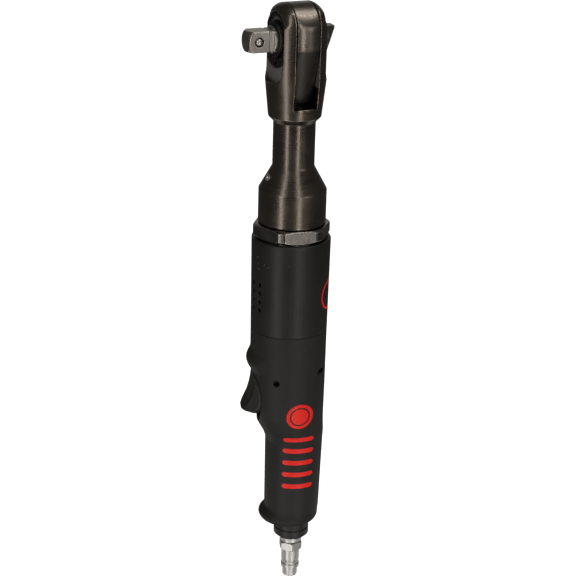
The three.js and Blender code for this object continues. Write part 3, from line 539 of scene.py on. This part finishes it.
def head_field(x, y, z):
    rho, drive = np.hypot(x, y), np.hypot(x, z)
    top = np.where(z > 0, drive, np.abs(x)) - 21.9 - 0.5 * np.maximum(-z, 0)
    mill = meet(np.abs(x) - FLAT, -25.8 - z, 7.5)
    body = meet(head_round(rho, z), meet(top, np.abs(y) - CHEEK - 0.8 * np.maximum(11.5 - z, 0), 7.2), 3.4)
    body = meet(body, merge(np.abs(y) - CHEEK, -mill, 0.3), 0.3)
    body = meet(body, -134 - z, 0.4)
    floor = -46 + 5.5 * np.clip((np.abs(x) - 11) / 5, 0, 1)
    body = cut(body, meet(np.abs(y) - SLOT, floor - z, 1.8), 0.65)
    beside = np.abs(x) - (FLAT + 0.1)
    body = cut(body, meet(np.maximum(drive - RECESS, beside), y + 12, 0.3), 0.3)
    rim = np.maximum((drive - RECESS + (y + 12.9) * 1.15) * 0.656, y + 12.9)
    body = cut(body, np.maximum(rim, beside), 0.15)
    body = cut(body, meet(np.maximum(drive - RECESS - 0.7, beside), np.abs(y + 13.6) - 0.4, 0.05), 0.1)
    body = cut(body, meet(drive - 10.8, y, 0.1), 0.3)
    body = cut(body, meet(drive - 9.3, -y, 0.1), 0.3)
    body = cut(body, meet(rho - 8.3, np.abs(z + 72) - 27, 0.1), 0.3)
    return cut(body, meet(rho - 17, z + 97, 0.4), 0.3)


solid("head", head_field, (-22.3, -22.3, -135), (22.3, 22.3, 23.2), 0.6, BRONZE, "housing", ["head_housing"])


def yoke_field(x, y, z):
    rho, drive = np.hypot(x, y), np.hypot(x, z)
    ease = np.clip((z - 4) / 14, 0, 1)
    across = np.sqrt(x * x + y * y * (1 - ease))
    crown = (np.hypot(across / 20.6, z / 21.8) - 1) * 21.4
    outline = meet(np.where(z > 0, crown, across - 20.6), rho - 18.65, 0.7)
    taper = (rho - 18.6 - (z + 8) * 0.27) * 0.96
    outline = meet(meet(outline, taper, 0.25), -38.2 - z, 0.5)
    body = meet(outline, np.abs(y) - 7.2, 0.5)
    body = cut(body, drive - 12.75, 0.3)
    return cut(body, meet(np.abs(x) - 7.35, z + 32.8, 0.3), 0.3)


solid("yoke", yoke_field, (-19.5, -8, -42), (19.5, 8, 23), 0.35, YOKE, "yoke", ["ratchet_yoke"])


SQUARE = 6.35  # half the drive square's width
BALL_R, BALL_OUT, BALL_T = 2.4, 0.8, 27  # the detent ball's radius, how far it stands out, and how far along -Y


def anvil_field(x, y, z):
    t = -y
    drive = np.hypot(x, z)
    square = meet(np.abs(x) - SQUARE, np.abs(z) - SQUARE, 0.75)
    square = meet(meet(square, t - 33.5, 0.35), (drive - 8.6 + (t - 31.2) * 0.94) * 0.728, 0.4)
    square = np.maximum(square, 15 - t)
    undercut = np.abs(t - 20.1) - 0.35
    waist = meet(np.abs(x) - 6.1, np.abs(z) - 6.1, 0.8) - np.maximum(undercut, 0) * 0.7
    square = np.where(undercut < 0.4, np.maximum(square, waist), square)
    shoulder = meet(drive - 8.3, t - 17.9, 0.9)
    journal = meet(meet(drive - 10.5, t - 15.7, 0.6), -t, 0.1)
    drum = meet(drive - 11.8, np.abs(t) - 7, 0.4)
    back = meet(meet(drive - 9, -13.4 - t, 0.4), t, 0.1)
    body = merge(merge(square, shoulder, 0.5), merge(journal, merge(drum, back, 0.2), 0.2), 0.3)
    bore = meet(drive - 3.3, t + 3, 0.1)
    pocket = meet(meet(np.abs(x) - 6.2, np.abs(y) - 4.4, 0.1), 5.6 - np.abs(z), 0.1)
    hole = meet(np.hypot(t - BALL_T, z) - 2.85, -3 - x, 0.2)
    return cut(cut(cut(body, bore, 0.2), pocket, 0.2), hole, 0.35)


solid("anvil", anvil_field, (-12.6, -34.3, -12.6), (12.6, 14.2, 12.6), 0.3, DRIVE, "anvil", ["drive_anvil"])

fin_outline = [(15, 7.4), (22.9, 7.2), (24.1, 6), (23.9, 4.8), (18.2, -11.4), (16.8, -12), (15, -12)]


def lever_field(x, y, z):
    drive = np.hypot(x, z)
    disc = meet(drive - 8.6, np.abs(y - 16.05) - 1.35, 0.55)
    fin = meet(soft_polygon(fin_outline, y, z, 0.7), np.abs(x) - 3 - (y - 15) * -0.06, 0.7)
    shaft = meet(drive - 3, np.abs(y - 9.5) - 6, 0.3)
    return merge(merge(disc, meet(fin, drive - 12.4, 0.5), 0.9), shaft, 0.1)


solid("lever", lever_field, (-9.4, 2.8, -13), (9.4, 25, 9.4), 0.28, LEVER, "lever", ["reversing_lever"])


def ring_field(x, y, z):
    t = -y
    band = np.maximum(np.hypot(x, z) - 15.9, 13.5 + 0.5 * z / 15 - np.hypot(x, z))
    ear = lambda side: np.hypot(x - side * 2.9, z + 12.6) - 2.1
    gap = meet(np.abs(x) - 1.2, z + 8, 0.1)
    plan = merge(merge(band, ear(1), 0.8), ear(-1), 0.8)
    plan = cut(np.maximum(plan, np.hypot(x, z) - 15.9), gap, 0.3)
    for side in (1, -1):
        plan = np.maximum(plan, 0.8 - np.hypot(x - side * 2.9, z + 12.6))
    return meet(meet(plan, np.abs(x) - FLAT, 0.1), np.abs(t - 13.62) - 0.25, 0.1)


solid("circlip", ring_field, (-16.6, -14.6, -16.6), (16.6, -12.6, 16.6), 0.18, BLACK, "housing", ["retaining_ring"])


def to_drive(points, place):
    """Stands a lathed piece along the drive direction, its z becoming the distance along -Y."""
    x, y, z = points.T
    return np.stack([x, -z, y], 1)


WASHER_R = FLAT - 0.1  # drawn small enough to stay inside the head
lathe("washer", [(10.8, 12.3), (WASHER_R, 12.3), (WASHER_R, 13.1), (10.8, 13.1)], BLACK, "housing",
      ["thrust_washer"], radius=0.15, turned=False, lean=to_drive)


def ball_outline(radius, steps=22):
    angle = np.linspace(-math.pi / 2, math.pi / 2, steps)
    return [(max(radius * math.cos(a), 0.0), radius * math.sin(a), 0.02) for a in angle]


def ball_place(points, place):
    """Lays the ball's own axis along X, at its hole in the square."""
    x, y, z = points.T
    shift = np.array([SQUARE + BALL_OUT - BALL_R, -BALL_T, 0]) if place else np.zeros(3)
    return np.stack([z, x, y], 1) + shift


lathe("ball", ball_outline(BALL_R), BRIGHT, "ball", ["detent_ball"], radius=0.02, turned=False,
      segments=48, lean=ball_place)

FITTING_Z = -85.8
CONE_LEAN = math.atan2(21.3 - 13.1, 93.9 - 79.2)
CONE_R = 13.1 + (21.3 - 13.1) * (-FITTING_Z - 79.2) / (93.9 - 79.2)  # the cone's radius at the grease fitting


def on_cone(points, place):
    """Stands a lathed piece square on the cone, towards the drive side."""
    x, y, z = points.T
    a = math.pi / 2 - CONE_LEAN
    out = np.stack([x, y * math.cos(a) - z * math.sin(a), y * math.sin(a) + z * math.cos(a)], 1)
    return out + (np.array([0, -CONE_R, FITTING_Z]) if place else 0)


lathe("grease_nipple", [
    (0, -5), (1.6, -5), (1.6, 0.1), (2.3, 0.1), (2.3, 0.55), (1.7, 0.8), (1.4, 0.95), (1.35, 1.2), (0.9, 1.55),
    (0.45, 1.6), (0.35, 1.2), (0, 1.2),
], BRIGHT, "housing", ["grease_fitting"], radius=0.12, turned=False, segments=48, lean=on_cone)

NUT_TOP, NUT_LOW, NUT_FLAT, NUT_ROUND = -115.8, -124.4, 22.3, 24.6
nut_round = profile_field([
    (NUT_LOW - 1, NUT_FLAT - 1.3), (NUT_LOW, NUT_FLAT, 0.2), (NUT_LOW + 1.8, NUT_ROUND, 0.5),
    (NUT_TOP - 1.2, NUT_ROUND, 0.5), (NUT_TOP, NUT_FLAT, 0.2), (NUT_TOP + 1, NUT_FLAT - 1.9),
], 0.3)


def nut_field(x, y, z):
    rho = np.hypot(x, y)
    body = meet(hexagon(x, y, NUT_FLAT, -9.4, 0.3), nut_round(rho, z), 0.22)
    body = meet(body, np.abs(z - (NUT_TOP + NUT_LOW) / 2) - (NUT_TOP - NUT_LOW) / 2, 0.3)
    return cut(body, rho - 20.5, 0.35)


solid("clamp_ring", nut_field, (-25, -25, -125.2), (25, 25, -115), 0.35, NUT, "housing", ["clamp_nut"])

# ------------------------------------------------------------------ motor sleeve

sleeve_round = profile_field([(-188, 24.5), (-186, 24.5), (-125, 25), (-123, 25)])
PIP_R = 24.6
PIPS = [  # degrees round from -Y, height, radius
    (29, -134.7, 0.9), (30, -138.7, 0.9), (31, -142.4, 0.9), (43, -138.6, 0.8), (49.5, -139.7, 0.9),
    (83, -137.1, 0.8),
]
VENTS = [(math.radians(17 * (i - 2)), -153.4 - 5.6 * row) for i in range(5) for row in range(4)]


def sleeve_field(x, y, z):
    rho = np.hypot(x, y)
    body = meet(sleeve_round(rho, z), z + 125, 1.1)
    body = meet(body, -186 - z, 0.25)
    body = cut(body, rho - 22.6, 0.4)
    near = None
    for angle, height in VENTS:
        sideways = x * math.cos(angle) + y * math.sin(angle)
        forward = -(y * math.cos(angle) - x * math.sin(angle))
        hole = np.where(forward > 0, np.hypot(sideways, z - height) - 1.5, 9.0)
        near = hole if near is None else np.minimum(near, hole)
    body = cut(body, near, 0.3)
    for angle, height, size in PIPS:
        a = math.radians(angle)
        plan = (x - PIP_R * math.sin(a)) ** 2 + (y + PIP_R * math.cos(a)) ** 2
        body = merge(body, np.sqrt(plan + (z - height) ** 2) - size, 0.25)
    return body


solid("sleeve", sleeve_field, (-25.6, -25.6, -186.8), (25.6, 25.6, -124.2), 0.5, SLEEVE, "housing", ["motor_sleeve"],
      turned=True)

# ------------------------------------------------------------------ handle

GRIP_Y = 5.4  # the lower grip and the inlet stand this far behind the tool axis
PIVOT, PIN_2 = (-9.1, -217.5), (19.7, -212.6)  # y and z of the trigger's pivot and of the locating pin
sections = np.array([  # z, radius and y of the grip's centre
    (-323.7, 19.75, 2.8), (-319.6, 19.75, 2.8), (-317.8, 19.45, 3.15),
    (-316.4, 18.6, 4.0), (-315, 18.05, 4.9), (-264, 18.9, 5.4), (-259, 19.85, 4.7), (-252, 21.7, 2.5),
    (-245, 23.2, 0.9), (-238, 24.1, 0.1), (-230, 24.3, 0), (-186.5, 24.45, 0),
])
levels = np.linspace(-323.7, -186.5, 700)


def smoothed(column, spread=0.9):
    """One column of the sections at each level, with its corners smoothed over spread millimetres."""
    line = np.interp(levels, sections[:, 0], sections[:, column])
    step = levels[1] - levels[0]
    reach = int(3 * spread / step)
    kernel = np.exp(-0.5 * (np.arange(-reach, reach + 1) * step / spread) ** 2)
    padded = np.concatenate([2 * line[0] - line[reach:0:-1], line, 2 * line[-1] - line[-2 : -reach - 2 : -1]])
    return np.convolve(padded, kernel / kernel.sum(), "valid")


grip_radius, grip_centre = smoothed(1), smoothed(2)
OVAL_Z = -232


def oval(x, z, half, upper, lower):
    """The trigger opening's outline: half is its half width, upper and lower its reach from OVAL_Z."""
    height = np.where(z > OVAL_Z, upper, lower)
    k = np.hypot(x / half, (z - OVAL_Z) / height)
    g = np.hypot(x / half**2, (z - OVAL_Z) / height**2)
    return k * (k - 1) / np.maximum(g, 1e-6)


def handle_field(x, y, z):
    r, c = np.interp(z, levels, grip_radius), np.interp(z, levels, grip_centre)
    body = np.hypot(x, y - c) - r
    body = meet(body, -323.75 - z, 4.2)
    body = meet(body, z + 186.15, 0.3)
    stop = (np.sqrt((x / 13) ** 2 + ((y + 18.6) / 8.3) ** 2 + ((z + 207.9) / 6.2) ** 2) - 1) * 6.2
    body = merge(body, stop, 3.6)
    mouth = meet(oval(x, z, 16, 20, 19), y + 12.4, 0.8)
    body = cut(body, mouth, 0.7)
    body = cut(body, meet(np.hypot(x, y) - 22.6, -196.9 - z, 0.2), 0.4)
    body = cut(body, meet(np.hypot(x, y) - 21, -206.6 - z, 0.2), 0.2)
    body = cut(body, meet(np.hypot(x, y - GRIP_Y) - 10.1, z + 200, 0.2), 0.4)
    slot = np.maximum(np.maximum(np.abs(x) - 5.6, np.abs(z + 229.75) - 19.25), np.maximum(y + 2, -13.4 - y))
    body = cut(body, slot, 0.2)
    for py, pz in (PIVOT, PIN_2):
        body = cut(body, np.hypot(y - py, z - pz) - 2.0, 0.2)
    return body


solid("handle", handle_field, (-25.3, -28, -324.6), (25.3, 25.3, -185.7), 0.65, GRIP, "housing", ["handle_grip"],
      turned=True)

# the trigger's front in profile, and the web behind it that hangs on the pivot pin
front_z = np.array([-243.5, -241.6, -240.2, -237, -233.7, -229.5, -225.9, -221, -216.6, -213])
front_y = np.array([30.4, 30.2, 29.5, 27.6, 25.8, 24.5, 23.7, 23.1, 22.7, 22.3])
web_outline = [(-19, -226), (-12.7, -217), (-12.1, -214.8), (-9.1, -213.9), (-6, -215.8), (-5.5, -218.6),
               (-7.6, -221.2), (-11, -222.8), (-13, -228), (-13, -240.6), (-18, -242.6)]


def trigger_field(x, y, z):
    depth = np.interp(z, front_z, front_y)
    front = (-y - depth) * 0.94
    out = -y
    flank = (np.abs(x) - 8.4) * 0.806 + (out - 28) * 0.591
    nose = (np.abs(x) - 5.6) * 0.496 + (out - 29.6) * 0.868
    paddle = meet(meet(front, flank, 1.4), nose, 0.8)
    paddle = meet(paddle, -242.8 - z, 1.1)
    paddle = meet(paddle, z + 213.8, 0.8)
    paddle = meet(paddle, 17.2 - out, 0.3)
    paddle = meet(paddle, oval(x, z, 15.3, 19.3, 17), 0.4)
    web = np.maximum(polygon(web_outline, y, z), np.abs(x) - 5)
    return cut(merge(paddle, web, 0.5), np.hypot(y - PIVOT[0], z - PIVOT[1]) - 2.2, 0.2)


solid("trigger", trigger_field, (-16, -31, -244), (16, -4.5, -213), 0.33, PLAIN, "trigger", ["trigger"],
      turned=True)


def across(py, pz):
    """Lays a lathed piece along local X at a height."""
    def lean(points, place):
        x, y, z = points.T
        return np.stack([z, x, y], 1) + (np.array([0, py, pz]) if place else 0)
    return lean


PINS = [("pivot_pin", "trigger_pin", 18.5, PIVOT), ("cross_pin", "locating_pin", 8.5, PIN_2)]
for name, node, half, (py, pz) in PINS:
    lathe(name, [(0, -half), (1.9, -half), (1.9, half), (0, half)], BLACK, "housing", [node],
          radius=0.4, lean=across(py, pz), segments=48)

# ------------------------------------------------------------------ inlet

lathe("deflector", [
    (8.1, -337.7), (9.3, -337.7, 0.4), (11.7, -335.5, 0.5), (11.7, -331.1, 0.2), (11.15, -330.8, 0.2),
    (11.15, -330.1, 0.2), (11.7, -329.8, 0.2), (11.7, -324.3, 0.4), (10.9, -324), (8.1, -324),
], PLAIN, "deflector", ["exhaust_deflector"], centre=(0, GRIP_Y), radius=0.15)
lathe("bushing", [
    (5.95, -342), (7.0, -342, 0.3), (7.2, -341.6), (7.2, -338), (7.6, -337.9), (7.6, -310), (5, -310), (5, -326),
    (5.95, -326),
], ZINC, "housing", ["inlet_bushing"], centre=(0, GRIP_Y), radius=0.15)

nipple_round = profile_field([
    (-370, 4.6), (-368.7, 4.65, 0.1), (-368.2, 4.95, 0.2), (-362.9, 4.95, 0.2), (-362.4, 6.1, 0.3),
    (-359.7, 6.15, 0.3), (-359.2, 5.65, 0.2), (-358.2, 5.65, 0.3), (-356.2, 6, 0.3), (-350, 6, 0.2), (-326, 5.65),
], 0.2)
hex_round = profile_field([
    (-350.2, 5.2), (-348.2, 7.1, 0.2), (-347.4, 8.1, 0.2), (-343.2, 8.1, 0.2), (-342.4, 7.1, 0.2), (-340, 4.6),
], 0.2)


def nipple_field(x, y, z):
    rho = np.hypot(x, y)
    turned = meet(nipple_round(rho, z), -368.7 - z, 0.25)
    turned = meet(turned, z + 327.4, 0.3)
    collar = meet(hexagon(x, y, 7, 93, 0.25), hex_round(rho, z), 0.2)
    collar = meet(collar, np.abs(z + 345.3) - 2.9, 0.2)
    return cut(merge(turned, collar, 0.3), rho - 3.6, 0.3)


def at_inlet(x, y, z):
    return nipple_field(x, y - GRIP_Y, z)


solid("nipple", at_inlet, (-8.6, -3.2, -369.4), (8.6, 14, -327), 0.25, ZINC, "housing", ["air_nipple"],
      turned=True)

# ------------------------------------------------------------------ stage

CAMERA_AZIMUTH = math.radians(65)
level = Vector((math.sin(CAMERA_AZIMUTH), -math.cos(CAMERA_AZIMUTH), 0))
side = Vector((math.cos(CAMERA_AZIMUTH), math.sin(CAMERA_AZIMUTH), 0))
axis = Vector((0, TOOL_Y / 1000, 0))
PITCH, ROLL, YAW = math.radians(20.9), math.radians(1.64), math.radians(-0.0627)
CAMERA_OUT, CAMERA_UP = 0.95, 0.202  # metres from the tool axis, and above the drive

forward = -level * math.cos(PITCH) - Vector((0, 0, math.sin(PITCH)))
up = side.cross(forward)
forward, right = forward * math.cos(YAW) + side * math.sin(YAW), side * math.cos(YAW) - forward * math.sin(YAW)
right, up = right * math.cos(ROLL) + up * math.sin(ROLL), up * math.cos(ROLL) - right * math.sin(ROLL)
camera_data = bpy.data.cameras.new("camera")
camera_data.lens, camera_data.sensor_width = 100, 36
camera_data.clip_start, camera_data.clip_end = 0.05, 50
camera = bpy.data.objects.new("camera", camera_data)
place = Matrix((right, up, -forward)).transposed().to_4x4()
place.translation = axis + level * CAMERA_OUT + Vector((0, 0, CAMERA_UP))
camera.matrix_world = place
bpy.context.scene.collection.objects.link(camera)
bpy.context.scene.camera = camera


def softbox(name, azimuth, distance, middle, width, height, radiance, pitch=0.0):
    """An area lamp facing the tool axis at the height middle, out along azimuth and pitch.

    The azimuth is measured from the camera's, to the right in the picture. Lengths are in metres.
    """
    a, e = CAMERA_AZIMUTH + math.radians(azimuth), math.radians(pitch)
    way = Vector((math.sin(a) * math.cos(e), -math.cos(a) * math.cos(e), math.sin(e)))
    data = bpy.data.lights.new(name, "AREA")
    data.color = (1, 0.975, 0.935)
    data.shape, data.size, data.size_y = "RECTANGLE", width, height
    data.energy = radiance * math.pi * width * height
    lamp = bpy.data.objects.new(name, data)
    lamp.visible_camera = False
    lamp.location = axis + Vector((0, 0, middle)) + way * distance
    lamp.rotation_mode = "QUATERNION"
    lamp.rotation_quaternion = (-way).to_track_quat("-Z", "Y")
    bpy.context.scene.collection.objects.link(lamp)


softbox("strip_left", -36.5, 1.5, 0.2, 0.17, 4.2, 3.9)
softbox("strip_right", 25, 1.5, 0.2, 0.15, 4.2, 4.1)
softbox("side_right", 50, 1.6, 0.12, 0.4, 0.85, 1.3)
softbox("crown", 98, 1.3, 0, 0.75, 0.5, 2.2, pitch=66)
softbox("front_top", 0, 1.4, 0, 0.6, 0.35, 2.4, pitch=77)
softbox("backdrop", 180, 1.7, 0.35, 1.6, 1.2, 0.32)
softbox("table", 0, 0.45, -0.62, 1.5, 0.4, 0.62, pitch=-14)
softbox("table_left", -115, 0.6, -0.62, 0.8, 0.36, 0.5, pitch=-14)
softbox("table_right", 115, 0.6, -0.62, 0.8, 0.36, 0.5, pitch=-14)

world = bpy.data.worlds.new("studio")
world.use_nodes = True
tree = world.node_tree
tree.nodes.clear()
seen = tree.nodes.new("ShaderNodeLightPath")
pale, dim = tree.nodes.new("ShaderNodeBackground"), tree.nodes.new("ShaderNodeBackground")
pale.inputs[0].default_value, pale.inputs[1].default_value = (1, 1, 1, 1), 1.0
dim.inputs[0].default_value, dim.inputs[1].default_value = (1, 0.97, 0.93, 1), 0.06
both, out = tree.nodes.new("ShaderNodeMixShader"), tree.nodes.new("ShaderNodeOutputWorld")
tree.links.new(seen.outputs["Is Camera Ray"], both.inputs[0])
tree.links.new(dim.outputs[0], both.inputs[1])
tree.links.new(pale.outputs[0], both.inputs[2])
tree.links.new(both.outputs[0], out.inputs[0])
bpy.context.scene.world = world

FLOOR_Z, FLOOR_R, FLOOR_SIDES = -0.3692, 4.5, 96
floor_mesh = bpy.data.meshes.new("floor")
edge = [(FLOOR_R * math.cos(a), FLOOR_R * math.sin(a), FLOOR_Z)
        for a in np.linspace(0, 2 * math.pi, FLOOR_SIDES, endpoint=False)]
floor_mesh.from_pydata(edge, [], [tuple(range(FLOOR_SIDES))])
floor = bpy.data.objects.new("floor", floor_mesh)
floor_look = Shader("floor")
cloudy = floor_look.noise(6, 2, 0.5)
tint = floor_look.mix(cloudy, (0.86, 0.86, 0.86), (0.9, 0.9, 0.9))
floor_mesh.materials.append(floor_look.finish(tint, floor_look.range(cloudy, 0, 1, 0.7, 0.8)))
floor_look.base.inputs["Emission Color"].default_value = (1, 1, 1, 1)
floor_look.base.inputs["Emission Strength"].default_value = 1.05
floor.visible_glossy = False
floor.visible_diffuse = False
floor.visible_shadow = False
bpy.context.scene.collection.objects.link(floor)

view = bpy.context.scene.view_settings
view.view_transform, view.look, view.exposure, view.gamma = "Standard", "None", 0.0, 1.0
